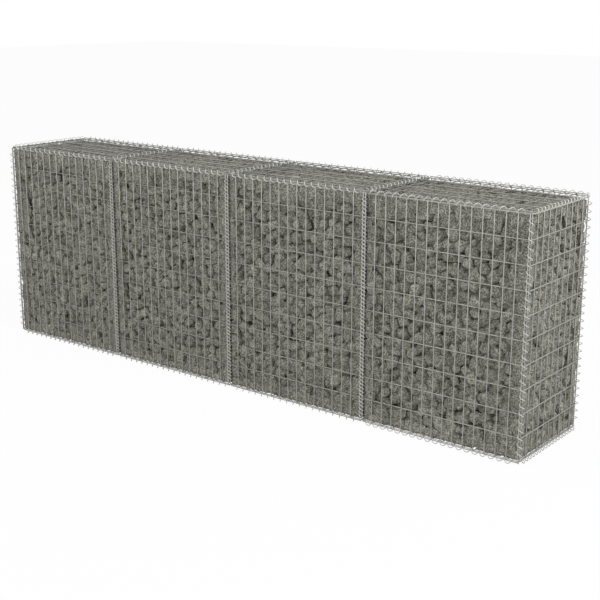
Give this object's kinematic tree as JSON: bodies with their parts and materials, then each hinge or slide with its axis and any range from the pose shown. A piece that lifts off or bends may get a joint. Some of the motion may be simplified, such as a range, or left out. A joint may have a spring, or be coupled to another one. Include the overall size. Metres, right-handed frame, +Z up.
{
  "type": "gabion wall",
  "caption": "Straight free-standing wall of stone-filled welded mesh baskets, laced together along their edges with spiral wire, to retain ground, screen or divide.",
  "frame": {"origin": "under the middle of the wall, at the level of the lowest turns of the bottom spirals, on which it stands", "axes": "+X along the wall from the left end to the right end, +Y from the front to the back, +Z up"},
  "size_m": [3.0736, 0.5358, 1.0358],
  "materials": {
    "mesh_wire": "welded round wire, hot-dip galvanised, dull light grey",
    "spiral_wire": "drawn wire, galvanised, dull light grey",
    "stone": "broken rock, rough, mid grey with green and brown tints"
  },
  "bodies": {
    "root": {"front_panel_1": "mesh_wire", "front_panel_2": "mesh_wire", "front_panel_3": "mesh_wire", "front_panel_4": "mesh_wire", "back_panel_1": "mesh_wire", "back_panel_2": "mesh_wire", "back_panel_3": "mesh_wire", "back_panel_4": "mesh_wire", "lid_panel_1": "mesh_wire", "lid_panel_2": "mesh_wire", "lid_panel_3": "mesh_wire", "lid_panel_4": "mesh_wire", "base_panel_1": "mesh_wire", "base_panel_2": "mesh_wire", "base_panel_3": "mesh_wire", "base_panel_4": "mesh_wire", "left_end_panel": "mesh_wire", "right_end_panel": "mesh_wire", "divider_panel_1": "mesh_wire", "divider_panel_2": "mesh_wire", "divider_panel_3": "mesh_wire", "front_spiral_1": "spiral_wire", "front_spiral_2": "spiral_wire", "front_spiral_3": "spiral_wire", "front_spiral_4": "spiral_wire", "front_spiral_5": "spiral_wire", "back_spiral_1": "spiral_wire", "back_spiral_2": "spiral_wire", "back_spiral_3": "spiral_wire", "back_spiral_4": "spiral_wire", "back_spiral_5": "spiral_wire", "front_bottom_spirals": "spiral_wire", "back_bottom_spirals": "spiral_wire", "front_top_spirals": "spiral_wire", "back_top_spirals": "spiral_wire", "bottom_cross_spirals": "spiral_wire", "top_cross_spirals": "spiral_wire", "stone_fill_1": "stone", "stone_fill_2": "stone", "stone_fill_3": "stone", "stone_fill_4": "stone"}
  },
  "joints": []
}
